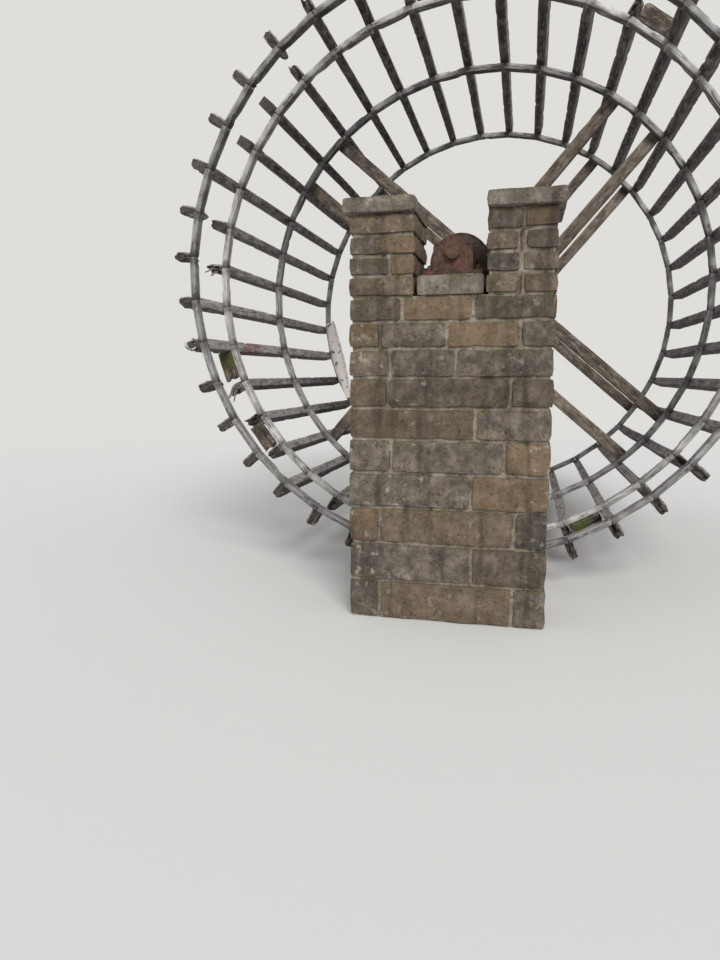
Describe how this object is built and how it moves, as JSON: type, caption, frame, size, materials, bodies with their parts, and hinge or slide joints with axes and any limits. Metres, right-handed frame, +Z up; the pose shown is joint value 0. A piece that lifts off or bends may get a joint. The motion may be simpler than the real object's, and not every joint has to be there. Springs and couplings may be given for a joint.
{
  "type": "water wheel",
  "caption": "Wide timber water wheel, a drum of slatted rings and long float boards on clasp arms, turning on iron gudgeons in open bearings on stone piers.",
  "frame": {"origin": "on the level of the pier feet, under the middle of the whole part's box", "axes": "+Y along the axle from the near end to the end with the free shaft, +Z up, +X to the right seen from the near end"},
  "size_m": [5.1308, 6.71, 5.2254],
  "materials": {
    "grey_oak": "weathered silver-grey, rough sawn",
    "brown_oak": "weathered brown, damp",
    "pale_board": "pale, sun-bleached, flaking white paint",
    "rusty_iron": "rusted",
    "rubble_stone": "rough rubble in lime mortar",
    "dressed_stone": "weathered, roughly dressed"
  },
  "bodies": {
    "supports": {"pier_near": "rubble_stone", "pier_far": "rubble_stone", "bed_stone_near": "dressed_stone", "bed_stone_far": "dressed_stone", "copings_near": "dressed_stone", "copings_far": "dressed_stone", "bearing_near": "rusty_iron", "bearing_far": "rusty_iron", "bearing_cap_near": "rusty_iron", "bearing_cap_far": "rusty_iron"},
    "wheel": {"ring_1": "grey_oak", "ring_2": "grey_oak", "ring_3": "grey_oak", "ring_4": "grey_oak", "arms_3_rising": "brown_oak", "arms_3_falling": "brown_oak", "arms_4_rising": "brown_oak", "arms_4_falling": "brown_oak", "axle": "brown_oak", "axle_hoops": "rusty_iron", "gudgeon_near": "rusty_iron", "gudgeon_far": "rusty_iron", "floats_1": "grey_oak", "floats_2": "grey_oak", "floats_3": "grey_oak", "floats_4": "grey_oak", "floats_5": "grey_oak", "floats_6": "grey_oak", "floats_7": "grey_oak", "floats_8": "grey_oak", "float_stubs_1": "grey_oak", "float_stubs_2": "grey_oak", "float_stubs_3": "grey_oak", "float_stubs_4": "grey_oak", "cheek_boards": "brown_oak", "patch_board": "pale_board"}
  },
  "joints": [
    {"name": "wheel_spin", "type": "hinge", "parent": "supports", "child": "wheel", "pos_m": [0, 0, 2.66], "axis": [0, 1, 0], "continuous": true}
  ]
}
